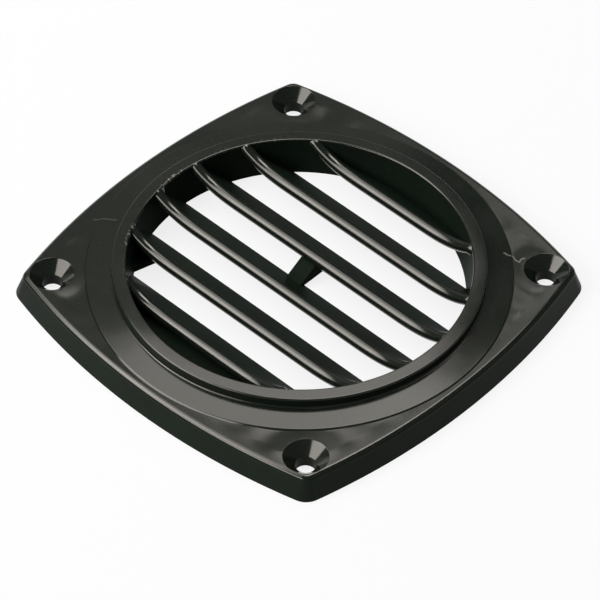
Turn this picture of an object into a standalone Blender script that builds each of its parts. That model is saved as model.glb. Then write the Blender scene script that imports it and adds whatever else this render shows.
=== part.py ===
"""Flush vent for an air duct, moulded in one piece of black plastic.

A pillow-square flange with a skirt carries a raised round rim. Six fixed louvre slats cross the
bore, a short web ties the two middle ones, and four countersunk holes take the screws.
The origin is the middle of the back plane, +Z points out of the face, and the slats run along X.
"""
import math

import bmesh
import bpy
from mathutils import Vector

MM = 0.001

# Bore: the widest part of the duct opening, just inside the rim
BORE_RADIUS = 38.2 * MM

# Ring: a shallow conical band round a raised rim, heights above the flat land
RIM_WIDTH = 3.1 * MM
RIM_HEIGHT = 3.4 * MM
RIM_FALL = 0.3 * MM
RIM_EDGE = 0.4 * MM
BAND_WIDTH = 6.0 * MM
BAND_RISE = 0.85 * MM
BAND_STEP = 0.25 * MM

# Collar: the duct wall that runs from the rim down to the back plane
COLLAR_WALL = 2.2 * MM
COLLAR_TAPER = 1.3 * MM

# Flange: a square whose sides bow outwards, with a skirt that stands on the wall
LAND_MARGIN = 0.7 * MM
SIDE_BOW_RADIUS = 166.0 * MM
CORNER_RADIUS = 4.4 * MM
SKIRT_HEIGHT = 5.6 * MM
SKIRT_DRAFT = 1.6 * MM
SKIRT_WALL = 2.2 * MM
EDGE_RADIUS = 1.2 * MM
LAND_THICKNESS = 2.2 * MM

# Louvres: a round bead along the front of a thin sloping blade
SLAT_COUNT = 6
SLAT_MARGIN = 7.95 * MM
BEAD_RADIUS = 1.4 * MM
BEAD_HEIGHT = 0.5 * MM
BLADE_THICKNESS = 1.5 * MM
BLADE_REACH = 7.6 * MM
BLADE_FOOT = 0.2 * MM
RAMP_LENGTH = 15.0 * MM
RAMP_HEIGHT = 2.85 * MM
RAMP_POWER = 3

# Web between the two middle slats, beside the middle
WEB_WIDTH = 4.2 * MM
WEB_OFFSET = -1.9 * MM
WEB_FOOT = 0.4 * MM

# Screw holes: 90 degree countersinks in bosses, set in from the sides of the flange
HOLE_INSET = 12.3 * MM
HOLE_RADIUS = 2.3 * MM
COUNTERSINK_RADIUS = 4.95 * MM
COUNTERSINK_ANGLE = math.radians(90.0)
BOSS_WALL = 0.9 * MM
BOSS_FOOT = 0.1 * MM

# Facets
ROUND_STEPS = 96
BOW_STEPS = 14
CORNER_POINTS = 5
EDGE_STEPS = 3
BEAD_POINTS = 10
RAMP_STEPS = 5
HOLE_STEPS = 32
FILLET_STEPS = 2
SMOOTH_ANGLE = math.radians(30.0)

# Cutters and joined solids run past the faces they meet by this much
OVERRUN = 1.0 * MM

# Sizes that follow
RIM_RADIUS = BORE_RADIUS + RIM_WIDTH
BAND_RADIUS = RIM_RADIUS + BAND_WIDTH
FLANGE_HALF = BAND_RADIUS + LAND_MARGIN + EDGE_RADIUS + SKIRT_DRAFT
SLAT_PITCH = 2 * (BORE_RADIUS - SLAT_MARGIN) / (SLAT_COUNT - 1)
LAND_Z = SKIRT_HEIGHT


def clear_scene():
    """Remove every object that the file opened with."""
    for obj in list(bpy.data.objects):
        bpy.data.objects.remove(obj, do_unlink=True)


def new_collection(name):
    """Make a collection in the scene."""
    collection = bpy.data.collections.new(name)
    bpy.context.scene.collection.children.link(collection)
    return collection


def plastic():
    """Black ABS with the low sheen of a lightly textured mould."""
    material = bpy.data.materials.new("black_abs")
    material.use_nodes = True
    shader = material.node_tree.nodes["Principled BSDF"]
    shader.inputs["Base Color"].default_value = (0.012, 0.012, 0.011, 1.0)
    shader.inputs["Roughness"].default_value = 0.33
    shader.inputs["Metallic"].default_value = 0.0
    return material


def as_tool(obj):
    """Mark a solid that is only cut from, or joined to, the vent."""
    obj.hide_render = True
    obj.display_type = "WIRE"


def arc(centre, radius, start, end, count):
    """Points on an arc from one angle to another, both ends included."""
    turn = (end - start) / (count - 1)
    angles = [start + turn * i for i in range(count)]
    return [(centre[0] + radius * math.cos(a), centre[1] + radius * math.sin(a)) for a in angles]


def pillow_outline(inset):
    """The outline at the foot of the skirt drawn in by an inset: four bowed sides, four corners."""
    bow = SIDE_BOW_RADIUS - inset
    corner = max(CORNER_RADIUS - inset, RIM_EDGE)
    bow_centre = FLANGE_HALF - SIDE_BOW_RADIUS
    reach = bow - corner
    corner_centre = (bow_centre + math.sqrt(2 * reach ** 2 - bow_centre ** 2)) / 2
    side_end = math.atan2(corner_centre, corner_centre - bow_centre)
    side = arc((bow_centre, 0.0), bow, -side_end, side_end, BOW_STEPS + 1)
    bend = arc((corner_centre, corner_centre), corner, side_end, math.pi / 2 - side_end, CORNER_POINTS)
    quarter = side + bend[1:-1]
    points = []
    for turn in range(4):
        cos_turn = round(math.cos(turn * math.pi / 2))
        sin_turn = round(math.sin(turn * math.pi / 2))
        points += [(x * cos_turn - y * sin_turn, x * sin_turn + y * cos_turn) for x, y in quarter]
    return points


def lofted(name, loops, collection):
    """A closed solid through a stack of loops that have the same number of points."""
    mesh = bpy.data.meshes.new(name)
    bm = bmesh.new()
    rings = [[bm.verts.new(point) for point in loop] for loop in loops]
    for low, high in zip(rings, rings[1:]):
        for i in range(len(low)):
            j = (i + 1) % len(low)
            bm.faces.new((low[i], low[j], high[j], high[i]))
    bm.faces.new(list(reversed(rings[0])))
    bm.faces.new(rings[-1])
    bmesh.ops.recalc_face_normals(bm, faces=bm.faces)
    bm.to_mesh(mesh)
    bm.free()
    obj = bpy.data.objects.new(name, mesh)
    collection.objects.link(obj)
    return obj


def filleted(corners, steps):
    """A closed profile from (x, z, fillet radius) corners, with an arc at each rounded one."""
    points = []
    for i, (x, z, radius) in enumerate(corners):
        here = Vector((x, z))
        if radius == 0.0:
            points.append((x, z))
            continue
        back = (Vector(corners[i - 1][:2]) - here).normalized()
        ahead = (Vector(corners[(i + 1) % len(corners)][:2]) - here).normalized()
        half = back.angle(ahead) / 2
        centre = here + (back + ahead).normalized() * radius / math.sin(half)
        start = here + back * radius / math.tan(half) - centre
        turn = start.angle_signed(here + ahead * radius / math.tan(half) - centre)
        first = math.atan2(start.y, start.x)
        points += arc(centre, radius, first, first - turn, steps + 1)
    return points


def turned(name, profile, steps, collection, closed=False):
    """A profile in the XZ plane turned round Z. It runs from top to bottom on its outer side."""
    mesh = bpy.data.meshes.new(name)
    edges = [(i, i + 1) for i in range(len(profile) - 1)]
    if closed:
        edges.append((len(profile) - 1, 0))
    mesh.from_pydata([(x, 0.0, z) for x, z in profile], edges, [])
    obj = bpy.data.objects.new(name, mesh)
    collection.objects.link(obj)
    screw = obj.modifiers.new("turn", "SCREW")
    screw.axis = "Z"
    screw.steps = steps
    screw.render_steps = steps
    screw.use_merge_vertices = True
    screw.merge_threshold = 0.00001
    return obj


def combine(target, tool, operation):
    """Join a solid to the target, or cut it away."""
    boolean = target.modifiers.new(tool.name, "BOOLEAN")
    boolean.operation = operation
    boolean.solver = "EXACT"
    boolean.object = tool
    as_tool(tool)


def flange(collection):
    """The solid pillow with drafted sides and a rounded front edge."""
    loops = [[Vector((x, y, 0.0)) for x, y in pillow_outline(0.0)]]
    for i in range(EDGE_STEPS + 1):
        angle = i * math.pi / 2 / EDGE_STEPS
        inset = SKIRT_DRAFT + EDGE_RADIUS * (1 - math.cos(angle))
        height = LAND_Z - EDGE_RADIUS * (1 - math.sin(angle))
        loops.append([Vector((x, y, height)) for x, y in pillow_outline(inset)])
    return lofted("flush_vent", loops, collection)


def hollow(collection):
    """The space inside the skirt, under the land."""
    low = [Vector((x, y, -OVERRUN)) for x, y in pillow_outline(SKIRT_WALL)]
    high = [Vector((x, y, LAND_Z - LAND_THICKNESS)) for x, y in pillow_outline(SKIRT_WALL + SKIRT_DRAFT)]
    return lofted("hollow", [low, high], collection)


def bore(collection):
    """The way through the flange, hidden inside the wall of the collar."""
    radius = BORE_RADIUS + COLLAR_WALL / 3
    outline = arc((0.0, 0.0), radius, 0.0, 2 * math.pi, ROUND_STEPS + 1)[:-1]
    low = [Vector((x, y, -OVERRUN)) for x, y in outline]
    high = [Vector((x, y, LAND_Z + OVERRUN)) for x, y in outline]
    return lofted("bore", [low, high], collection)


def ring_and_collar(collection):
    """The conical band, the raised rim and the collar as one turned section."""
    rim_top = LAND_Z + RIM_HEIGHT
    mid_land = LAND_Z - LAND_THICKNESS / 2
    collar_outer = BORE_RADIUS + COLLAR_WALL
    corners = [
        (BORE_RADIUS, rim_top, RIM_EDGE),
        (RIM_RADIUS, rim_top - RIM_FALL, RIM_EDGE),
        (RIM_RADIUS, LAND_Z + BAND_RISE, RIM_EDGE),
        (BAND_RADIUS, LAND_Z + BAND_STEP, 0.0),
        (BAND_RADIUS, mid_land, 0.0),
        (collar_outer, mid_land, 0.0),
        (collar_outer - COLLAR_TAPER, 0.0, 0.0),
        (BORE_RADIUS - COLLAR_TAPER, 0.0, 0.0),
    ]
    profile = filleted(corners, FILLET_STEPS)
    return turned("ring_and_collar", profile, ROUND_STEPS, collection, closed=True)


def slat_section(bead_z):
    """A louvre seen along X, as (y, z): the bead, then a blade that falls nearly to the rear plane."""
    half = BLADE_THICKNESS / 2
    drop = bead_z - BLADE_FOOT
    slope = math.atan2(drop, BLADE_REACH) + math.asin(half / math.hypot(drop, BLADE_REACH))
    neck = math.asin(half / BEAD_RADIUS)
    bead = arc((0.0, bead_z), BEAD_RADIUS, neck - slope, 2 * math.pi - neck - slope, BEAD_POINTS)
    under_edge = BLADE_REACH - BLADE_THICKNESS / math.sin(slope)
    return bead + [(under_edge, BLADE_FOOT), (BLADE_REACH, BLADE_FOOT)]


def slat(index, collection):
    """One louvre across the bore, with ends that rise to the rim."""
    y_bead = (index - (SLAT_COUNT - 1) / 2) * SLAT_PITCH
    wall = math.sqrt(BORE_RADIUS ** 2 - y_bead ** 2)
    low_z = LAND_Z + BEAD_HEIGHT - BEAD_RADIUS
    stations = [(wall + SLAT_PITCH, RAMP_HEIGHT)]
    for i in range(RAMP_STEPS + 1):
        share = i / RAMP_STEPS
        lift = RAMP_HEIGHT * (1 - share) ** RAMP_POWER
        stations.append((wall - RAMP_LENGTH * share, lift))
    stations += [(-x, lift) for x, lift in reversed(stations)]
    loops = []
    for x, lift in stations:
        loops.append([Vector((x, y_bead + y, z)) for y, z in slat_section(low_z + lift)])
    return lofted("slat_%d" % (index + 1), loops, collection)


def wall_core(collection):
    """A disc that ends inside the collar wall and the rim, which the slats are cut to."""
    low_radius = BORE_RADIUS + COLLAR_WALL / 2 - COLLAR_TAPER
    low = arc((0.0, 0.0), low_radius, 0.0, 2 * math.pi, ROUND_STEPS + 1)[:-1]
    high = arc((0.0, 0.0), BORE_RADIUS + RIM_WIDTH / 2, 0.0, 2 * math.pi, ROUND_STEPS + 1)[:-1]
    loops = [[Vector((x, y, -OVERRUN)) for x, y in low]]
    loops.append([Vector((x, y, LAND_Z + RIM_HEIGHT)) for x, y in high])
    return lofted("wall_core", loops, collection)


def web(collection):
    """The short tie between the two middle slats."""
    half_pitch = SLAT_PITCH / 2
    bead_z = LAND_Z + BEAD_HEIGHT - BEAD_RADIUS
    section = [
        (half_pitch, bead_z),
        (-half_pitch + BLADE_REACH - BLADE_THICKNESS, WEB_FOOT + BLADE_THICKNESS / 2),
        (-half_pitch + BLADE_REACH - BLADE_THICKNESS, WEB_FOOT),
        (half_pitch + BLADE_REACH - BLADE_THICKNESS, WEB_FOOT),
    ]
    loops = []
    for side in (-1, 1):
        x = WEB_OFFSET + side * WEB_WIDTH / 2
        loops.append([Vector((x, y, z)) for y, z in section])
    return lofted("web", loops, collection)


def screw_places():
    """The centres of the four screw holes."""
    half = FLANGE_HALF - HOLE_INSET
    return [(x, y) for x in (-half, half) for y in (-half, half)]


def boss(number, place, collection):
    """The thick spot under the land that a screw head bears on."""
    outline = arc(place, COUNTERSINK_RADIUS + BOSS_WALL, 0.0, 2 * math.pi, HOLE_STEPS + 1)[:-1]
    low = [Vector((x, y, BOSS_FOOT)) for x, y in outline]
    high = [Vector((x, y, LAND_Z - LAND_THICKNESS / 2)) for x, y in outline]
    return lofted("boss_%d" % number, [low, high], collection)


def screw_hole(number, place, collection):
    """The countersink and the clearance hole as one turned cutter."""
    flare = math.tan(COUNTERSINK_ANGLE / 2)
    throat = (COUNTERSINK_RADIUS - HOLE_RADIUS) / flare
    profile = [
        (0.0, OVERRUN),
        (COUNTERSINK_RADIUS + OVERRUN * flare, OVERRUN),
        (HOLE_RADIUS, -throat),
        (HOLE_RADIUS, -SKIRT_HEIGHT),
        (0.0, -SKIRT_HEIGHT),
    ]
    cutter = turned("screw_hole_%d" % number, profile, HOLE_STEPS, collection)
    cutter.location = (place[0], place[1], LAND_Z)
    return cutter


def finish(obj):
    """Apply the joins and cuts, and shade it evenly: smooth on round stretches, crisp at edges."""
    seen = obj.evaluated_get(bpy.context.evaluated_depsgraph_get())
    mesh = bpy.data.meshes.new_from_object(seen)
    obj.modifiers.clear()
    obj.data = mesh
    mesh.shade_smooth()
    mesh.set_sharp_from_angle(angle=SMOOTH_ANGLE)
    shading = obj.modifiers.new("even_shading", "WEIGHTED_NORMAL")
    shading.keep_sharp = True


def build():
    """Make the vent: one solid with its hollows cut and its slats joined on."""
    clear_scene()
    parts = new_collection("flush_vent")
    tools = new_collection("tools")
    vent = flange(parts)
    combine(vent, hollow(tools), "DIFFERENCE")
    combine(vent, bore(tools), "DIFFERENCE")
    for number, place in enumerate(screw_places()):
        combine(vent, boss(number + 1, place, tools), "UNION")
    combine(vent, ring_and_collar(tools), "UNION")
    core = wall_core(tools)
    as_tool(core)
    for index in range(SLAT_COUNT):
        blade = slat(index, tools)
        combine(blade, core, "INTERSECT")
        combine(vent, blade, "UNION")
    combine(vent, web(tools), "UNION")
    for number, place in enumerate(screw_places()):
        combine(vent, screw_hole(number + 1, place, tools), "DIFFERENCE")
    finish(vent)
    vent.data.materials.append(plastic())


build()
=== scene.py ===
"""Flush vent in black ABS on a pale studio floor, seen as in the photograph.

The vent is one moulding, so one finely divided piece stands for the CAD solid.
"""

import math

import bmesh
import bpy
from bpy.props import (
    FloatProperty, FloatVectorProperty, IntProperty, PointerProperty, StringProperty,
)
from mathutils import Matrix, Vector, noise


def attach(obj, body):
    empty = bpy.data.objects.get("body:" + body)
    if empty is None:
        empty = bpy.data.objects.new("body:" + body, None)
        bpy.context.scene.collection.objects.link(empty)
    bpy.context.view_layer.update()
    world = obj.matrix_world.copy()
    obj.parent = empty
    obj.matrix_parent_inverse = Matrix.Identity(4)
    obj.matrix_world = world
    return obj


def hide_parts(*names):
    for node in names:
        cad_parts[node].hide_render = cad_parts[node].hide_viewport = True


bl_info = {
    "name": "Flush vent",
    "version": (1, 0, 0),
    "blender": (4, 5, 0),
    "location": "View3D > Sidebar > Flush vent",
    "description": "Builds a louvred flush vent, its black plastic and its studio",
    "category": "Object",
}

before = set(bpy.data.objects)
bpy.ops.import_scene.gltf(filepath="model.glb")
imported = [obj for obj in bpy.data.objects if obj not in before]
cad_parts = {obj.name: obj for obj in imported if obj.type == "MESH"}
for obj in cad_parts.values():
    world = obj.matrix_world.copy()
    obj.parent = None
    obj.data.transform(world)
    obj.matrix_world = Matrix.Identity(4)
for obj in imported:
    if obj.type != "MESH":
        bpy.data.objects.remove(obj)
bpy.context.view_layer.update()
NODE = "flush_vent"
MM = 0.001
# The line that the mould halves leave: its place on the rounded edge and its breadth, as angles
WITNESS_BEND = math.radians(57.0)
WITNESS_SPREAD = math.radians(7.0)
# The bevel on the band's edge: the share of it that lies inside, and the cone's rise at its top
BEVEL_INSIDE, BEVEL_LIFT = 0.75, 0.05
# How far the core that the slats are cut to runs into the rim, in radii of the rim's edge
CORE_EDGE = 1.25
# The three finishes, as material indices. The second is partly a real etched texture and
# partly painted shade; the third, in the bore, is painted shade, a copy with hardly a reflection
POLISHED, ETCHED_AND_SHADED, IN_SHADE = range(3)
# Upward part of a face's normal under which it is upright, or leans as the skirt's edge does
UPRIGHT, LEANING = 0.2, 0.6
# A bead is polished up to this rearward part of a normal, and this near its round, in its radii
BEAD_REAR, BEAD_REACH = 0.45, 1.03
# Noise values between which each pattern sets in, from none to full, and a noise's middle value
HAZE_SPAN, FLECK_SPAN, SPECK_SPAN, PATCH_SPAN = (0.4, 0.7), (0.5, 0.74), (0.54, 0.62), (0.48, 0.6)
NOISE_MIDDLE = (0.5, 0.5, 0.5)
# Takes the height out of a place
FROM_ABOVE = (1.0, 1.0, 0.0)
# Light marks seen from above, in millimetres along X and Y: a curled scratch, then a knit line
SCRATCH = ((28.7, 35.5), (29.7, 35.7), (30.6, 36.2), (31.7, 35.9), (32.7, 36.1), (32.8, 37.6))
KNIT_LINE = ((-43.9, -20.3), (-42.0, -18.6), (-39.8, -17.4))


def length(name, description, millimetres):
    """A length property whose default is given in millimetres."""
    return FloatProperty(
        name=name, description=description, default=millimetres * MM, unit="LENGTH", precision=5
    )


def angle(name, description, degrees):
    """An angle property whose default is given in degrees."""
    return FloatProperty(
        name=name, description=description, default=math.radians(degrees), subtype="ANGLE",
        precision=4,
    )


def amount(name, description, value):
    """A plain number property."""
    return FloatProperty(name=name, description=description, default=value, precision=4)


def metres(name, description, values):
    """A place, or sizes along the axes, in metres."""
    return FloatVectorProperty(
        name=name, description=description, default=values, size=len(values), unit="LENGTH",
        precision=4,
    )


def count(name, description, value):
    """A whole number property."""
    return IntProperty(name=name, description=description, default=value)


def hex_colour(name, description, value):
    """An sRGB hex colour property."""
    return StringProperty(name=name, description=description, default=value)


class VentSizes(bpy.types.PropertyGroup):
    """Sizes of the moulding. They are the CAD solid's, except that the rim falls less here. Only
    the scene has the witness line, the bevel, the softened mouths, the swells, the front plate
    and the gusset. The front plate and the gusset are painted shade: dark sheets in shaded gaps."""

    bore: length("Bore radius", "Widest part of the duct opening, just inside the rim", 38.2)
    rim_width: length("Rim width", "Width of the raised rim", 3.1)
    rim_height: length("Rim height", "Height of the rim above the flat land", 3.4)
    rim_fall: length("Rim fall", "How much lower the rim is at its outer edge", 0.22)
    rim_edge: length("Rim edge", "Radius on the edges of the rim and at its foot", 0.4)
    band_width: length("Band width", "Width of the conical band round the rim", 6.0)
    band_rise: length("Band rise", "Height of the band at the foot of the rim", 0.85)
    band_step: length("Band step", "Height of the band's outer edge above the land", 0.25)
    band_bevel: length("Band bevel", "Width of the bevel down the outer edge of the band", 0.4)
    band_edge: length("Band edge", "Radius along the top of that bevel", 0.3)
    collar_wall: length("Collar wall", "Wall thickness of the collar behind the rim", 2.2)
    collar_taper: length("Collar taper", "How much narrower the collar is at the back", 1.3)
    land_margin: length("Land margin", "Flat land between the band and the edge, at mid side", 0.7)
    side_bow: length("Side bow radius", "Radius of the four bowed sides", 166.0)
    corner: length("Corner radius", "Radius of the four corners", 4.4)
    skirt_height: length("Skirt height", "Height of the flat land above the back plane", 5.6)
    skirt_draft: length("Skirt draft", "How far the foot of the skirt stands out", 1.6)
    skirt_wall: length("Skirt wall", "Wall thickness of the skirt", 2.2)
    edge: length("Edge radius", "Radius between the land and the skirt", 1.2)
    witness: length("Witness line", "Depth of the mould halves' line on that edge", 0.05)
    land_thickness: length("Land thickness", "Thickness of the flat land", 2.2)
    slats: count("Slats", "Number of louvre slats", 6)
    slat_margin: length("Slat margin", "From the bore's edge to the first bead's middle", 7.95)
    bead: length("Bead radius", "Radius of the bead along the front of a slat", 1.4)
    bead_height: length("Bead height", "Top of the bead above the flat land", 0.5)
    blade_thickness: length("Blade thickness", "Thickness of a slat behind its bead", 1.5)
    blade_reach: length("Blade reach", "From the bead's middle to the rear edge of the blade", 7.6)
    blade_foot: length("Blade foot", "Height of a slat's rear edge above the back plane", 0.2)
    ramp_length: length("Ramp length", "Stretch over which a slat's end rises to the rim", 15.0)
    ramp_height: length("Ramp height", "How far a slat's end rises", 2.85)
    ramp_power: amount("Ramp power", "How late a slat's end starts to rise", 3.0)
    web_width: length("Web width", "Width of the web between the middle slats", 4.2)
    web_offset: length("Web offset", "Place of the web along the slats", -1.9)
    web_foot: length("Web foot", "Height of the web above the back plane", 0.4)
    plate_reach: length("Plate reach", "From the first bead's middle to the plate's rear edge", 3.4)
    plate_foot: length("Plate foot", "Height of the front plate above the back plane", 1.2)
    gusset_rear: length("Gusset rear", "Rear end of the gusset, in front of the middle", 14.0)
    gusset_front: length("Gusset front", "Front end of the gusset, in front of the middle", 23.4)
    gusset_edge: length("Gusset edge", "Free corner of the gusset, left of the middle", 27.4)
    hole_inset: length("Hole inset", "From the side of the flange to a screw hole", 12.3)
    hole: length("Hole radius", "Radius of a screw hole", 2.3)
    countersink: length("Countersink radius", "Radius of a countersink at the land", 4.95)
    countersink_angle: angle("Countersink angle", "Included angle of a countersink", 90.0)
    countersink_edge: length("Countersink edge", "Radius round the mouth of a countersink", 0.2)
    boss_wall: length("Boss wall", "Width of a boss outside its countersink", 0.9)
    boss_foot: length("Boss foot", "Height of a boss above the back plane", 0.1)
    sink_depth: length("Sink depth", "Height of the ripple of shrinkage round a boss", 0.085)
    sink_length: length("Sink length", "From crest to crest of that ripple", 9.0)
    sink_reach: length("Sink reach", "How far out that ripple dies away", 12.0)
    sway_depth: length("Sway depth", "Height of the uneven swells of the land", 0.065)
    sway_length: length("Sway length", "Breadth of the uneven swells of the land", 9.0)
    swell_margin: length("Swell margin", "From the land's edge to where the swells are full", 3.5)
    swell_tuck: length("Swell tuck", "How far in under the band the swells die away", 0.8)


class VentFineness(bpy.types.PropertyGroup):
    """How finely the moulding's round stretches are divided."""

    round_steps: count("Round steps", "Facets round the ring and the collar", 288)
    bow_points: count("Bow points", "Points along a bowed side", 60)
    corner_points: count("Corner points", "Points round a corner", 16)
    edge_points: count("Edge points", "Steps over the edge of the land", 20)
    bead_points: count("Bead points", "Points round a bead", 30)
    ramp_points: count("Ramp points", "Steps along the rise at a slat's end", 20)
    hole_steps: count("Hole steps", "Facets round a screw hole", 96)
    fillet_steps: count("Fillet steps", "Steps over each small fillet", 5)
    land_rings: count("Land rings", "Rings from the edge of the land to the band", 24)
    sharp_angle: angle("Sharp angle", "Faces that meet at more than this stay sharp", 28.0)


class VentFinish(bpy.types.PropertyGroup):
    """Colours and gloss of the plastic."""

    colour: hex_colour("Colour", "Body colour of the polished faces", "#0f1510")
    haze_colour: hex_colour("Haze colour", "Colour where the surface is slightly hazed", "#151a15")
    matt_colour: hex_colour("Matt colour", "Body colour of the etched and dull faces", "#151e17")
    sheen_colour: hex_colour("Sheen colour", "Tint of the reflections", "#fff8f0")
    roughness: amount("Roughness", "Roughness of the polished faces", 0.11)
    etched_roughness: amount("Etched roughness", "Roughness of the etched faces", 0.36)
    haze_roughness: amount("Haze roughness", "Roughness that the haze adds", 0.06)
    gloss: amount("Gloss", "Specular level of the polished faces", 0.6)
    etched_and_shaded_gloss: amount("Etched gloss", "Specular level of the etched faces", 0.075)
    shaded_gloss: amount("Shaded gloss", "Specular level of the blades and the collar's wall", 0.004)
    grain: length("Grain", "Size of the mould texture's grains", 0.25)
    grain_depth: length("Grain depth", "Height of the mould texture", 0.002)
    fleck_colour: hex_colour("Fleck colour", "Colour of the fine dusty flecks", "#3c3b36")
    dust: amount("Dust", "How strong the flecks are on the polished faces", 0.3)
    etched_dust: amount("Etched dust", "How strong the flecks are on the other faces", 0.15)
    fleck_size: length("Fleck size", "Breadth of the flecks, drawn coarse enough to show", 0.35)
    scuff_and_glint_colour: hex_colour("Scuff colour", "Colour of scratches, glints and knit lines", "#6f6c65")
    scratch_width: length("Scratch width", "Half the width of a scratch", 0.22)
    scratch_wander: length("Scratch wander", "How far a scratch wanders from its line", 0.5)
    wander_size: length("Wander size", "Length of one wander of a scratch", 1.25)
    knit_share: amount("Knit share", "How plain a knit line is beside a scratch", 0.3)
    # Painted glints: bright specks along the rim's inner edge, at its left, where the edge is rough
    glint_radius: length("Glint radius", "Radius of the rubbed line on the rim's inner edge", 38.55)
    glint_width: length("Glint width", "Half the width of the rubbed line", 0.4)
    glint_sides: metres("Glint sides", "Where the glint starts and is full, along X", (-0.022, -0.032))
    glint_heights: metres("Glint heights", "Where the glint starts and is full, up Z", (0.0075, 0.0082))
    glint_size: length("Glint size", "Breadth of the bright specks in the rubbed line", 0.8)
    glint_patch: length("Glint patch", "Length of the stretches where the rim is rubbed", 7.0)
    haze_size: length("Haze size", "Breadth of the hazed patches", 16.0)
    warp_size: length("Warp size", "Breadth of the shallow sinks and warps", 14.0)
    warp_depth: length("Warp depth", "Depth of the shallow sinks and warps", 0.06)


class StudioSettings(bpy.types.PropertyGroup):
    """Camera, floor and soft light."""

    camera_azimuth: angle("Camera azimuth", "Direction of the camera round the vent", 42.88)
    camera_elevation: angle("Camera elevation", "Height of the camera over the vent", 45.86)
    camera_roll: angle("Camera roll", "Turn of the camera about its own axis", 1.0)
    camera_distance: length("Camera distance", "From the camera to the vent", 981.2)
    camera_shift_x: amount("Shift across", "Sideways shift, as a share of the frame", 0.00076)
    camera_shift_y: amount("Shift up", "Upward shift, as a share of the frame", -0.0473)
    camera_lens: amount("Lens", "Focal length in millimetres on a 36 mm sensor", 267.4)
    floor_size: length("Floor size", "Side of the square floor", 6000.0)
    floor_colour: hex_colour("Floor colour", "Colour of the floor", "#e2e2e2")
    floor_glow: amount("Floor glow", "How far the seen floor is whitened", 0.82)
    overhead: metres("Overhead place", "Middle of the overhead softbox", (-0.806, -0.213, 1.2))
    overhead_size: metres("Overhead size", "Sides of the overhead softbox", (0.72, 2.12))
    overhead_turn: angle("Overhead turn", "Turn of the overhead softbox about the vertical", -30.0)
    overhead_radiance: amount("Overhead light", "Radiance of the overhead softbox", 2.5)
    core: metres("Core place", "Middle of the overhead's bright part", (-0.654, -0.72, 1.21))
    core_size: metres("Core size", "Sides of the bright part", (0.73, 1.08))
    core_radiance: amount("Core light", "Radiance that the bright part adds", 3.4)
    strip: metres("Strip place", "Middle of the narrow softbox overhead", (-0.144, 0.5, 1.22))
    strip_size: metres("Strip size", "Sides of the narrow softbox", (0.32, 0.8))
    strip_radiance: amount("Strip light", "Radiance of the narrow softbox", 5.0)
    rear: metres("Rear place", "Middle of the small softbox behind the vent", (-0.67, 0.985, 1.19))
    rear_size: metres("Rear size", "Sides of the rear softbox", (0.19, 0.17))
    rear_radiance: amount("Rear light", "Radiance of the rear softbox", 1.1)
    side: metres("Side place", "Middle of the softbox left of the camera", (-0.386, -1.006, 0.727))
    side_size: metres("Side size", "Sides of the side softbox", (1.32, 0.576))
    side_radiance: amount("Side light", "Radiance of the side softbox", 4.8)
    fill: metres("Fill place", "Middle of the faint panel behind, at the left", (-1.16, 0.7, 0.85))
    fill_size: metres("Fill size", "Sides of the faint panel", (1.15, 1.15))
    fill_radiance: amount("Fill light", "Radiance of the faint panel", 0.18)
    world_strength: amount("Room light", "Strength of the even light in the room", 0.105)
    world_colour: hex_colour("Room colour", "Colour of the even light in the room", "#f2fff4")


def linear(hex_value):
    """An sRGB hex colour as linear red, green, blue and alpha."""
    parts = [int(hex_value[i:i + 2], 16) / 255 for i in (1, 3, 5)]
    return [c / 12.92 if c <= 0.04045 else ((c + 0.055) / 1.055) ** 2.4 for c in parts] + [1.0]


def add_node(tree, kind, inputs=None, **settings):
    """Add a node, set its properties, and set or link its inputs by name or number."""
    node = tree.nodes.new(kind)
    for key, value in settings.items():
        setattr(node, key, value)
    for key, value in (inputs or {}).items():
        if isinstance(value, bpy.types.NodeSocket):
            tree.links.new(value, node.inputs[key])
        else:
            node.inputs[key].default_value = value
    return node


def arc(centre, radius, start, end, points):
    """Points on an arc from one angle to another, both ends included."""
    turn = (end - start) / (points - 1)
    angles = [start + turn * i for i in range(points)]
    return [(centre[0] + radius * math.cos(a), centre[1] + radius * math.sin(a)) for a in angles]


def circle(centre, radius, steps):
    """Points round a whole circle."""
    return arc(centre, radius, 0.0, 2 * math.pi, steps + 1)[:-1]


def level(points, height):
    """A flat loop at a height."""
    return [Vector((x, y, height)) for x, y in points]


def filleted(corners, steps):
    """A closed profile from (x, z, fillet radius) corners, with an arc at each rounded one."""
    points = []
    for i, (x, z, radius) in enumerate(corners):
        if radius == 0.0:
            points.append((x, z))
            continue
        here = Vector((x, z))
        back = (Vector(corners[i - 1][:2]) - here).normalized()
        ahead = (Vector(corners[(i + 1) % len(corners)][:2]) - here).normalized()
        half = back.angle(ahead) / 2
        centre = here + (back + ahead).normalized() * radius / math.sin(half)
        start = here + back * radius / math.tan(half) - centre
        turn = start.angle_signed(here + ahead * radius / math.tan(half) - centre)
        first = math.atan2(start.y, start.x)
        points += arc(centre, radius, first, first - turn, steps + 1)
    return points


def lofted(name, loops):
    """A closed solid through a stack of loops that have the same number of points."""
    mesh = bpy.data.meshes.new(name)
    bm = bmesh.new()
    rings = [[bm.verts.new(point) for point in loop] for loop in loops]
    for low, high in zip(rings, rings[1:]):
        for i in range(len(low)):
            j = (i + 1) % len(low)
            bm.faces.new((low[i], low[j], high[j], high[i]))
    bm.faces.new(list(reversed(rings[0])))
    bm.faces.new(rings[-1])
    bmesh.ops.recalc_face_normals(bm, faces=bm.faces)
    bm.to_mesh(mesh)
    bm.free()
    obj = bpy.data.objects.new(name, mesh)
    bpy.context.scene.collection.objects.link(obj)
    return obj


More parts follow.
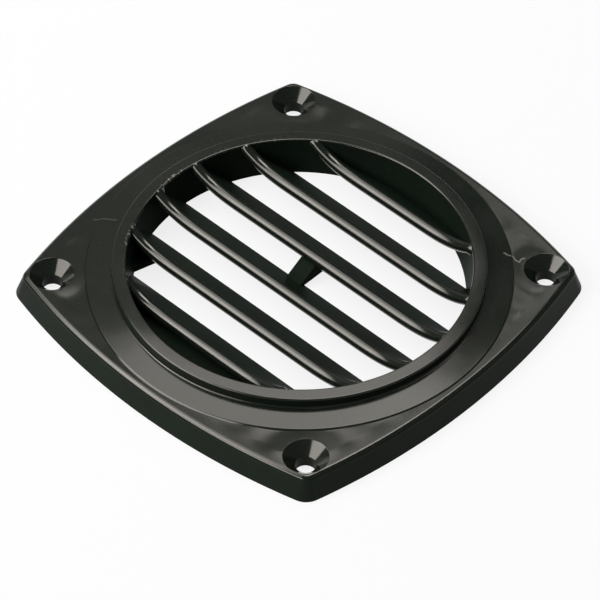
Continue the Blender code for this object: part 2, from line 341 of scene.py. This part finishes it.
def turned(name, profile, steps, closed=False):
    """A profile in the XZ plane turned round Z: a closed one, or one that starts and ends there."""
    mesh = bpy.data.meshes.new(name)
    edges = [(i, i + 1) for i in range(len(profile) - 1)]
    if closed:
        edges.append((len(profile) - 1, 0))
    mesh.from_pydata([(x, 0.0, z) for x, z in profile], edges, [])
    obj = bpy.data.objects.new(name, mesh)
    bpy.context.scene.collection.objects.link(obj)
    screw = obj.modifiers.new("turn", "SCREW")
    screw.axis = "Z"
    screw.steps = steps
    screw.render_steps = steps
    screw.use_merge_vertices = True
    screw.merge_threshold = 0.000001
    return obj


def combine(target, tool, operation):
    """Join a solid to the target, or cut it away."""
    boolean = target.modifiers.new(tool.name, "BOOLEAN")
    boolean.operation = operation
    boolean.solver = "EXACT"
    boolean.object = tool


def applied(obj, tools):
    """Apply the modifiers, then remove the solids that they used."""
    mesh = bpy.data.meshes.new_from_object(obj.evaluated_get(bpy.context.evaluated_depsgraph_get()))
    obj.modifiers.clear()
    obj.data = mesh
    for tool in tools:
        bpy.data.objects.remove(tool, do_unlink=True)


class Moulding:
    """Makes the solids of the moulding from its sizes."""

    def __init__(self, sizes, fine):
        self.s = sizes
        self.fine = fine
        self.rim_radius = sizes.bore + sizes.rim_width
        self.band_radius = self.rim_radius + sizes.band_width
        self.half = self.band_radius + sizes.land_margin + sizes.edge + sizes.skirt_draft
        self.land = sizes.skirt_height
        self.pitch = 2 * (sizes.bore - sizes.slat_margin) / (sizes.slats - 1)
        # Middle of the collar's wall at the back, where what joins it ends
        self.wall_radius = sizes.bore + sizes.collar_wall / 2 - sizes.collar_taper
        # How far cutters and hidden ends run past what they meet
        self.overrun = MM

    def outline(self, inset):
        """The outline at the foot of the skirt drawn in: four bowed sides and four corners."""
        s = self.s
        bow = s.side_bow - inset
        corner = max(s.corner - inset, s.rim_edge)
        bow_centre = self.half - s.side_bow
        reach = bow - corner
        corner_centre = (bow_centre + math.sqrt(2 * reach ** 2 - bow_centre ** 2)) / 2
        end = math.atan2(corner_centre, corner_centre - bow_centre)
        side = arc((bow_centre, 0.0), bow, -end, end, self.fine.bow_points)
        middle = (corner_centre, corner_centre)
        bend = arc(middle, corner, end, math.pi / 2 - end, self.fine.corner_points)
        quarter = [Vector(point) for point in side + bend[1:-1]]
        turns = [Matrix.Rotation(i * math.pi / 2, 2) for i in range(4)]
        return [turn @ point for turn in turns for point in quarter]

    def flange(self):
        """The solid pillow with drafted sides and a rounded front edge."""
        s = self.s
        steps = self.fine.edge_points
        loops = [level(self.outline(0.0), 0.0)]
        for i in range(steps + 1):
            bend = i * math.pi / 2 / steps
            radius = s.edge - s.witness * math.exp(-((bend - WITNESS_BEND) / WITNESS_SPREAD) ** 2)
            inset = s.skirt_draft + s.edge - radius * math.cos(bend)
            loops.append(level(self.outline(inset), self.land - s.edge + radius * math.sin(bend)))
        rim = self.outline(s.skirt_draft + s.edge)
        inner = self.band_radius - self.overrun
        for i in range(1, self.fine.land_rings + 1):
            share = i / self.fine.land_rings
            ring = [point.lerp(point.normalized() * inner, share) for point in rim]
            heights = [self.land + self.swell(point, outer) for point, outer in zip(ring, rim)]
            loops.append([Vector((*point, height)) for point, height in zip(ring, heights)])
        return lofted("vent_moulding", loops)

    def swell(self, point, edge):
        """How far the land stands over its level: a ripple round each boss, and uneven swells."""
        s = self.s
        out = self.half - s.hole_inset
        away = math.hypot(abs(point.x) - out, abs(point.y) - out) - s.countersink
        ripple = s.sink_depth * math.cos(2 * math.pi * away / s.sink_length)
        ripple *= math.exp(-away / s.sink_reach)
        sway = s.sway_depth * noise.noise(Vector((point.x, point.y, 0.0)) / s.sway_length)
        at_edge = min((point - edge).length / s.swell_margin, 1.0) ** 2
        at_band = min(max((point.length - self.band_radius) / s.swell_tuck + 1.0, 0.0), 1.0)
        return (ripple + sway) * at_edge * at_band

    def hollow(self):
        """The space inside the skirt, under the land."""
        s = self.s
        low = level(self.outline(s.skirt_wall), -self.overrun)
        high = level(self.outline(s.skirt_wall + s.skirt_draft), self.land - s.land_thickness)
        return lofted("hollow", [low, high])

    def bore(self):
        """The way through the flange, hidden inside the wall of the collar."""
        points = circle((0.0, 0.0), self.s.bore + self.s.collar_wall / 3, self.fine.round_steps)
        ends = (-self.overrun, self.land + self.overrun)
        return lofted("bore", [level(points, z) for z in ends])

    def ring_and_collar(self):
        """The conical band, the raised rim and the collar as one turned section."""
        s = self.s
        rim_top = self.land + s.rim_height
        mid_land = self.land - s.land_thickness / 2
        bevel_top = self.land + s.band_step + BEVEL_LIFT * s.band_rise
        bevel_out = (1 - BEVEL_INSIDE) * s.band_bevel
        outer = s.bore + s.collar_wall
        corners = [
            (s.bore, rim_top, s.rim_edge),
            (self.rim_radius, rim_top - s.rim_fall, s.rim_edge),
            (self.rim_radius, self.land + s.band_rise, s.rim_edge),
            (self.band_radius - BEVEL_INSIDE * s.band_bevel, bevel_top, s.band_edge),
            (self.band_radius + bevel_out, self.land - s.band_step / 2, 0.0),
            (self.band_radius, mid_land, 0.0),
            (outer, mid_land, 0.0),
            (outer - s.collar_taper, 0.0, 0.0),
            (s.bore - s.collar_taper, 0.0, 0.0),
        ]
        profile = filleted(corners, self.fine.fillet_steps)
        return turned("ring_and_collar", profile, self.fine.round_steps, closed=True)

    def slat_section(self, bead_z):
        """A louvre seen along X, as (y, z): the bead, then a blade that falls to the back plane."""
        s = self.s
        half = s.blade_thickness / 2
        drop = bead_z - s.blade_foot
        slope = math.atan2(drop, s.blade_reach) + math.asin(half / math.hypot(drop, s.blade_reach))
        neck = math.asin(half / s.bead)
        start, end = neck - slope, 2 * math.pi - neck - slope
        bead = arc((0.0, bead_z), s.bead, start, end, self.fine.bead_points)
        under_edge = s.blade_reach - s.blade_thickness / math.sin(slope)
        return bead + [(under_edge, s.blade_foot), (s.blade_reach, s.blade_foot)]

    def bead_axis(self, index, x):
        """The y and z of the middle of a slat's bead, which rises to the rim at its ends."""
        s = self.s
        y = (index - (s.slats - 1) / 2) * self.pitch
        inside = math.sqrt(s.bore ** 2 - y ** 2) - abs(x)
        share = min(max(inside / s.ramp_length, 0.0), 1.0)
        return y, self.land + s.bead_height - s.bead + s.ramp_height * (1 - share) ** s.ramp_power

    def slat(self, index):
        """One louvre across the bore, with ends that rise to the rim."""
        s = self.s
        wall = math.sqrt(s.bore ** 2 - self.bead_axis(index, 0.0)[0] ** 2)
        steps = self.fine.ramp_points
        places = [wall + self.pitch] + [wall - s.ramp_length * i / steps for i in range(steps + 1)]
        loops = []
        for x in places + [-x for x in reversed(places)]:
            y_bead, z_bead = self.bead_axis(index, x)
            loops.append([Vector((x, y_bead + y, z)) for y, z in self.slat_section(z_bead)])
        return lofted("slat_%d" % (index + 1), loops)

    def wall_core(self):
        """A disc that ends inside the collar wall and the rim, which the slats are cut to."""
        s = self.s
        low = circle((0.0, 0.0), self.wall_radius, self.fine.round_steps)
        high = circle((0.0, 0.0), s.bore + CORE_EDGE * s.rim_edge, self.fine.round_steps)
        top = self.land + s.rim_height
        return lofted("wall_core", [level(low, -self.overrun), level(high, top)])

    def web(self):
        """The short tie between the two middle slats."""
        s = self.s
        half_pitch = self.pitch / 2
        bead_z = self.land + s.bead_height - s.bead
        rear = s.blade_reach - s.blade_thickness
        section = [
            (half_pitch, bead_z),
            (rear - half_pitch, s.web_foot + s.blade_thickness / 2),
            (rear - half_pitch, s.web_foot),
            (rear + half_pitch, s.web_foot),
        ]
        sides = [s.web_offset - s.web_width / 2, s.web_offset + s.web_width / 2]
        return lofted("web", [[Vector((x, y, z)) for y, z in section] for x in sides])

    def front_plate(self):
        """The plate at the back that closes the space between the rim and the first slat. It is
        painted shade: a dark sheet put in that gap, where there is shade.
        """
        s = self.s
        chord = self.bead_axis(0, 0.0)[0] + s.plate_reach
        end = math.asin(chord / self.wall_radius)
        points = arc((0.0, 0.0), self.wall_radius, -math.pi - end, end, self.fine.bow_points)
        top = s.plate_foot + s.blade_thickness
        return lofted("front_plate", [level(points, z) for z in (s.plate_foot, top)])

    def gusset(self):
        """The small plate at the left ends of the first two slats, in the corner by the wall. It is
        painted shade: a dark sheet put in that corner, where there is shade.
        """
        s = self.s
        sides = [y / self.wall_radius for y in (s.gusset_rear, s.gusset_front)]
        start, end = (math.pi + math.asin(side) for side in sides)
        points = arc((0.0, 0.0), self.wall_radius, start, end, self.fine.bow_points)
        points.append((-s.gusset_edge, -s.gusset_rear))
        top = s.web_foot + s.blade_thickness
        return lofted("gusset", [level(points, z) for z in (s.web_foot, top)])

    def screw_places(self):
        """The centres of the four screw holes."""
        out = self.half - self.s.hole_inset
        return [(x, y) for x in (-out, out) for y in (-out, out)]

    def boss(self, place):
        """The thick spot under the land that a screw head bears on."""
        s = self.s
        points = circle(place, s.countersink + s.boss_wall, self.fine.hole_steps)
        top = self.land - s.land_thickness / 2
        return lofted("boss", [level(points, z) for z in (s.boss_foot, top)])

    def screw_hole(self, place):
        """The countersink with its softened mouth and the clearance hole as one turned cutter."""
        s = self.s
        throat = (s.countersink - s.hole) / math.tan(s.countersink_angle / 2)
        corners = [
            (0.0, self.overrun, 0.0),
            (2 * s.countersink, self.overrun, 0.0),
            (2 * s.countersink, 0.0, 0.0),
            (s.countersink, 0.0, s.countersink_edge),
            (s.hole, -throat, 0.0),
            (s.hole, -2 * s.skirt_height, 0.0),
            (0.0, -2 * s.skirt_height, 0.0),
        ]
        profile = filleted(corners, self.fine.fillet_steps)
        mouth = [point for point in profile if abs(point[0]) < s.countersink + s.countersink_edge]
        cut = [(0.0, self.overrun), (mouth[1][0], self.overrun)] + mouth[1:]
        cutter = turned("screw_hole", cut, self.fine.hole_steps)
        cutter.location = (place[0], place[1], self.land)
        return cutter

    def finish(self, face):
        """Which finish a face has. The blades and the wall of the bore get painted shade: a copy of
        the plastic with hardly a reflection. The skirt, the back, the rim's outer side and the
        walls of the
        screw holes are etched: a low sheen that is partly a real etched texture and partly painted
        shade."""
        s = self.s
        x, y, z = face.center
        spread = math.hypot(x, y)
        if spread < s.bore:
            beads = [self.bead_axis(index, x) for index in range(s.slats)]
            reach = BEAD_REACH * s.bead
            on_bead = any(math.hypot(y - mid_y, z - mid_z) < reach for mid_y, mid_z in beads)
            on_edge = spread > s.bore - s.rim_edge and face.normal.z > UPRIGHT
            return POLISHED if on_edge or on_bead and face.normal.y < BEAD_REAR else IN_SHADE
        mouth = s.countersink + s.countersink_edge
        in_mouth = any(math.hypot(x - a, y - b) < mouth for a, b in self.screw_places())
        if spread < self.rim_radius + s.rim_edge or in_mouth:
            return ETCHED_AND_SHADED if face.normal.z < UPRIGHT else POLISHED
        return ETCHED_AND_SHADED if z < self.land and face.normal.z < LEANING else POLISHED

    def build(self):
        """One solid with its hollows cut and its slats joined on."""
        vent = self.flange()
        core = self.wall_core()
        cuts = [self.hollow(), self.bore()]
        joins = [self.boss(place) for place in self.screw_places()] + [self.ring_and_collar()]
        slats = [self.slat(index) for index in range(self.s.slats)]
        holes = [self.screw_hole(place) for place in self.screw_places()]
        for slat in slats:
            combine(slat, core, "INTERSECT")
        joins += slats + [self.web(), self.front_plate(), self.gusset()]
        for tool in cuts:
            combine(vent, tool, "DIFFERENCE")
        for tool in joins:
            combine(vent, tool, "UNION")
        for tool in holes:
            combine(vent, tool, "DIFFERENCE")
        applied(vent, cuts + joins + holes + [core])
        for face in vent.data.polygons:
            face.material_index = self.finish(face)
        return vent


def stroke(tree, place, ends, width):
    """How far a point lies on a thin straight mark seen from above, from 0 to 1. The mark fades
    from its middle third to its full half width."""
    start, end = (Vector((x * MM, y * MM, 0.0)) for x, y in ends)
    run = end - start
    off = add_node(
        tree, "ShaderNodeVectorMath", {0: place, 1: start}, operation="SUBTRACT"
    ).outputs[0]
    along = add_node(
        tree, "ShaderNodeVectorMath", {0: off, 1: run / run.length_squared},
        operation="DOT_PRODUCT",
    )
    share = add_node(tree, "ShaderNodeClamp", {"Value": along.outputs["Value"]})
    near = add_node(
        tree, "ShaderNodeVectorMath", {0: run, "Scale": share.outputs[0]}, operation="SCALE"
    )
    gap = add_node(
        tree, "ShaderNodeVectorMath", {0: off, 1: near.outputs[0]}, operation="DISTANCE"
    )
    return add_node(
        tree, "ShaderNodeMapRange",
        {"Value": gap.outputs["Value"], "From Min": width, "From Max": width / 3},
    ).outputs[0]


def wear_and_glints(tree, finish, place):
    """Where the polished face is scratched or has a knit line, and where painted glints lie along
    the rim's inner edge, from 0 to 1.
    """
    wander = add_node(
        tree, "ShaderNodeTexNoise",
        {"Vector": place, "Scale": 1 / finish.wander_size, "Detail": 1.0},
    )
    swing = add_node(
        tree, "ShaderNodeVectorMath", {0: wander.outputs["Color"], 1: NOISE_MIDDLE},
        operation="SUBTRACT",
    )
    moved = add_node(
        tree, "ShaderNodeVectorMath",
        {0: swing.outputs[0], 1: [2 * finish.scratch_wander] * 3, 2: place},
        operation="MULTIPLY_ADD",
    )
    moved_flat = add_node(
        tree, "ShaderNodeVectorMath", {0: moved.outputs[0], 1: FROM_ABOVE}, operation="MULTIPLY"
    ).outputs[0]
    flat = add_node(
        tree, "ShaderNodeVectorMath", {0: place, 1: FROM_ABOVE}, operation="MULTIPLY"
    ).outputs[0]

    width = finish.scratch_width
    marks = [stroke(tree, moved_flat, ends, width) for ends in zip(SCRATCH, SCRATCH[1:])]
    for ends in zip(KNIT_LINE, KNIT_LINE[1:]):
        marks.append(add_node(
            tree, "ShaderNodeMath", {0: stroke(tree, flat, ends, width), 1: finish.knit_share},
            operation="MULTIPLY",
        ).outputs[0])

    # Painted glints along the rim's inner edge, on its left part and in a few stretches
    spread = add_node(tree, "ShaderNodeVectorMath", {0: flat}, operation="LENGTH")
    on_line = add_node(
        tree, "ShaderNodeMath",
        {0: spread.outputs["Value"], 1: finish.glint_radius, 2: finish.glint_width},
        operation="COMPARE",
    )
    axes = add_node(tree, "ShaderNodeSeparateXYZ", {"Vector": place})
    speck = add_node(
        tree, "ShaderNodeTexNoise", {"Vector": place, "Scale": 1 / finish.glint_size, "Detail": 2.0}
    )
    patch = add_node(tree, "ShaderNodeTexNoise", {"Vector": place, "Scale": 1 / finish.glint_patch})
    glinting = on_line.outputs[0]
    for value, (low, high) in (
        (axes.outputs["X"], finish.glint_sides),
        (axes.outputs["Z"], finish.glint_heights),
        (speck.outputs["Fac"], SPECK_SPAN),
        (patch.outputs["Fac"], PATCH_SPAN),
    ):
        share = add_node(
            tree, "ShaderNodeMapRange", {"Value": value, "From Min": low, "From Max": high}
        )
        glinting = add_node(
            tree, "ShaderNodeMath", {0: glinting, 1: share.outputs[0]}, operation="MULTIPLY"
        ).outputs[0]

    worn_and_glinting = glinting
    for mark in marks:
        worn_and_glinting = add_node(tree, "ShaderNodeMath", {0: worn_and_glinting, 1: mark}, operation="MAXIMUM").outputs[0]
    return worn_and_glinting


def moulded_abs(finish, name, body, roughness, gloss, dust, worn_and_glinting=False):
    """Black ABS, injection moulded: a deep, slightly green black under a clear sheen, whose
    reflections wander a little where the moulding has warped, with the mould's faint grain. Hazed
    patches and dusty flecks, drawn coarser than real ones, break up the sheen."""
    material = bpy.data.materials.new(name)
    material.use_nodes = True
    tree = material.node_tree
    tree.nodes.clear()
    place = add_node(tree, "ShaderNodeTexCoord").outputs["Object"]
    grain = add_node(
        tree, "ShaderNodeTexNoise", {"Vector": place, "Scale": 1 / finish.grain, "Detail": 3.0}
    )
    warp = add_node(
        tree, "ShaderNodeTexNoise", {"Vector": place, "Scale": 1 / finish.warp_size, "Detail": 1.0}
    )
    haze = add_node(
        tree, "ShaderNodeTexNoise", {"Vector": place, "Scale": 1 / finish.haze_size, "Detail": 5.0}
    )
    haze_share = add_node(
        tree, "ShaderNodeMapRange",
        {"Value": haze.outputs["Fac"], "From Min": HAZE_SPAN[0], "From Max": HAZE_SPAN[1]},
    )
    colour = add_node(
        tree, "ShaderNodeMix",
        {0: haze_share.outputs[0], 6: linear(body), 7: linear(finish.haze_colour)},
        data_type="RGBA",
    )
    fleck = add_node(
        tree, "ShaderNodeTexNoise", {"Vector": place, "Scale": 1 / finish.fleck_size, "Detail": 2.0}
    )
    fleck_share = add_node(
        tree, "ShaderNodeMapRange",
        {
            "Value": fleck.outputs["Fac"], "From Min": FLECK_SPAN[0], "From Max": FLECK_SPAN[1],
            "To Max": dust,
        },
    )
    seen_colour = add_node(
        tree, "ShaderNodeMix",
        {0: fleck_share.outputs[0], 6: colour.outputs[2], 7: linear(finish.fleck_colour)},
        data_type="RGBA",
    ).outputs[2]
    # Scratches and knit lines, and painted glints on the rim's inner edge, in the scuff colour
    if worn_and_glinting:
        seen_colour = add_node(
            tree, "ShaderNodeMix",
            {0: wear_and_glints(tree, finish, place), 6: seen_colour, 7: linear(finish.scuff_and_glint_colour)},
            data_type="RGBA",
        ).outputs[2]
    rough = add_node(
        tree, "ShaderNodeMapRange",
        {
            "Value": haze_share.outputs[0], "To Min": roughness,
            "To Max": roughness + finish.haze_roughness,
        },
    )
    warped = add_node(
        tree, "ShaderNodeBump",
        {"Height": warp.outputs["Fac"], "Distance": finish.warp_depth, "Strength": 1.0},
    )
    grained = add_node(
        tree, "ShaderNodeBump",
        {
            "Height": grain.outputs["Fac"], "Distance": finish.grain_depth,
            "Normal": warped.outputs["Normal"],
        },
    )
    shader = add_node(
        tree, "ShaderNodeBsdfPrincipled",
        {
            "Base Color": seen_colour, "Roughness": rough.outputs[0], "IOR": 1.54,
            "Specular IOR Level": gloss, "Specular Tint": linear(finish.sheen_colour),
            "Normal": grained.outputs["Normal"],
        },
    )
    add_node(tree, "ShaderNodeOutputMaterial", {"Surface": shader.outputs["BSDF"]})
    return material


def plain_floor(studio):
    """Matt pale paint. What the camera and the reflections see is whitened by a plain glow, which
    leaves the vent's shadow and adds no light to the vent itself."""
    material = bpy.data.materials.new("matt painted floor")
    material.use_nodes = True
    tree = material.node_tree
    tree.nodes.clear()
    paint = add_node(tree, "ShaderNodeBsdfDiffuse", {"Color": linear(studio.floor_colour)})
    glow = add_node(tree, "ShaderNodeEmission", {"Strength": 1.0})
    ray = add_node(tree, "ShaderNodeLightPath").outputs
    seen = ray["Is Camera Ray"]
    for kind in ("Is Glossy Ray", "Is Transmission Ray"):
        seen = add_node(
            tree, "ShaderNodeMath", {0: seen, 1: ray[kind]}, operation="MAXIMUM"
        ).outputs[0]
    share = add_node(
        tree, "ShaderNodeMath", {0: seen, 1: studio.floor_glow}, operation="MULTIPLY"
    )
    mixed = add_node(
        tree, "ShaderNodeMixShader",
        {0: share.outputs[0], 1: paint.outputs["BSDF"], 2: glow.outputs["Emission"]},
    )
    add_node(tree, "ShaderNodeOutputMaterial", {"Surface": mixed.outputs["Shader"]})
    return material


def softbox(studio, name, aimed, turn=0.0):
    """A rectangular lamp of a given radiance, aimed at the vent or hung level and turned."""
    size = getattr(studio, name + "_size")
    light = bpy.data.lights.new(name + "_softbox", "AREA")
    light.shape = "RECTANGLE"
    light.size = size[0]
    light.size_y = size[1]
    light.energy = getattr(studio, name + "_radiance") * math.pi * size[0] * size[1]
    obj = bpy.data.objects.new(light.name, light)
    bpy.context.scene.collection.objects.link(obj)
    obj.location = getattr(studio, name)
    towards_vent = obj.location.to_track_quat("Z", "Y").to_euler()
    obj.rotation_euler = towards_vent if aimed else (0.0, 0.0, turn)


class VENT_OT_moulding(bpy.types.Operator):
    """Build the one-piece moulding that stands for the CAD solid"""

    bl_idname = "vent.moulding"
    bl_label = "Moulding"

    def execute(self, context):
        scene = context.scene
        fineness = scene.vent_fineness
        vent = Moulding(scene.vent_sizes, fineness).build()
        vent.data.shade_smooth()
        vent.data.set_sharp_from_angle(angle=fineness.sharp_angle)
        weighted = vent.modifiers.new("even shading", "WEIGHTED_NORMAL")
        weighted.keep_sharp = True
        finish = scene.vent_finish
        for material in (
            # From a polished mould: the lamps show as clear, soft-edged reflections
            moulded_abs(
                finish, "polished black ABS", finish.colour, finish.roughness, finish.gloss,
                finish.dust, worn_and_glinting=True,
            ),
            # From an etched mould: an even, greyer black with only a faint broad sheen. The low
            # sheen is
            # partly real and partly painted shade on faces that turn sideways, down or into the
            # holes
            moulded_abs(
                finish, "etched black ABS", finish.matt_colour, finish.etched_roughness,
                finish.etched_and_shaded_gloss, finish.etched_dust,
            ),
            # Painted shade on the blades and the wall, deep in the bore: a copy with hardly a
            # reflection
            moulded_abs(
                finish, "dull black ABS", finish.matt_colour, finish.etched_roughness,
                finish.shaded_gloss, finish.etched_dust,
            ),
        ):
            vent.data.materials.append(material)
        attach(vent, "root")
        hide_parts(NODE)
        return {"FINISHED"}


class VENT_OT_studio(bpy.types.Operator):
    """Set up the floor, the soft light and the camera"""

    bl_idname = "vent.studio"
    bl_label = "Studio"

    def execute(self, context):
        scene = context.scene
        studio = scene.vent_studio
        land = scene.vent_sizes.skirt_height
        bpy.ops.mesh.primitive_plane_add(size=studio.floor_size)
        floor = context.object
        floor.name = "floor"
        floor.data.materials.append(plain_floor(studio))
        softbox(studio, "overhead", False, studio.overhead_turn)
        softbox(studio, "core", False)
        softbox(studio, "strip", False)
        softbox(studio, "rear", False)
        softbox(studio, "side", True)
        softbox(studio, "fill", True)
        world = bpy.data.worlds.new("room")
        world.use_nodes = True
        background = world.node_tree.nodes["Background"]
        background.inputs["Color"].default_value = linear(studio.world_colour)
        background.inputs["Strength"].default_value = studio.world_strength
        scene.world = world
        camera = bpy.data.objects.new("camera", bpy.data.cameras.new("camera"))
        scene.collection.objects.link(camera)
        camera.data.lens = studio.camera_lens
        camera.data.sensor_width = 36.0
        camera.data.shift_x = studio.camera_shift_x
        camera.data.shift_y = studio.camera_shift_y
        camera.data.clip_start = 0.05
        camera.data.clip_end = 20.0
        azimuth, elevation = studio.camera_azimuth, studio.camera_elevation
        roll = studio.camera_roll
        back = Vector((
            math.sin(azimuth) * math.cos(elevation), -math.cos(azimuth) * math.cos(elevation),
            math.sin(elevation),
        ))
        flat_right = Vector((math.cos(azimuth), math.sin(azimuth), 0.0))
        flat_up = back.cross(flat_right)
        right = flat_right * math.cos(roll) + flat_up * math.sin(roll)
        up = flat_up * math.cos(roll) - flat_right * math.sin(roll)
        camera.matrix_world = Matrix((right, up, back)).transposed().to_4x4()
        camera.location = Vector((0.0, 0.0, land)) + back * studio.camera_distance
        scene.camera = camera
        scene.view_settings.view_transform = "Standard"
        return {"FINISHED"}


class VENT_PT_panel(bpy.types.Panel):
    """Sizes, finish and studio of the flush vent"""

    bl_label = "Flush vent"
    bl_idname = "VENT_PT_panel"
    bl_space_type = "VIEW_3D"
    bl_region_type = "UI"
    bl_category = "Flush vent"

    def draw(self, context):
        layout = self.layout
        layout.operator(VENT_OT_moulding.bl_idname)
        layout.operator(VENT_OT_studio.bl_idname)
        for group in SETTINGS:
            settings = getattr(context.scene, group)
            for name in settings.__annotations__:
                layout.prop(settings, name)


SETTINGS = {
    "vent_sizes": VentSizes,
    "vent_fineness": VentFineness,
    "vent_finish": VentFinish,
    "vent_studio": StudioSettings,
}
CLASSES = (*SETTINGS.values(), VENT_OT_moulding, VENT_OT_studio, VENT_PT_panel)


def register():
    for cls in CLASSES:
        bpy.utils.register_class(cls)
    for name, cls in SETTINGS.items():
        setattr(bpy.types.Scene, name, PointerProperty(type=cls))


def unregister():
    for name in SETTINGS:
        delattr(bpy.types.Scene, name)
    for cls in reversed(CLASSES):
        bpy.utils.unregister_class(cls)


def main():
    register()
    bpy.ops.vent.moulding()
    bpy.ops.vent.studio()


if __name__ == "__main__":
    main()
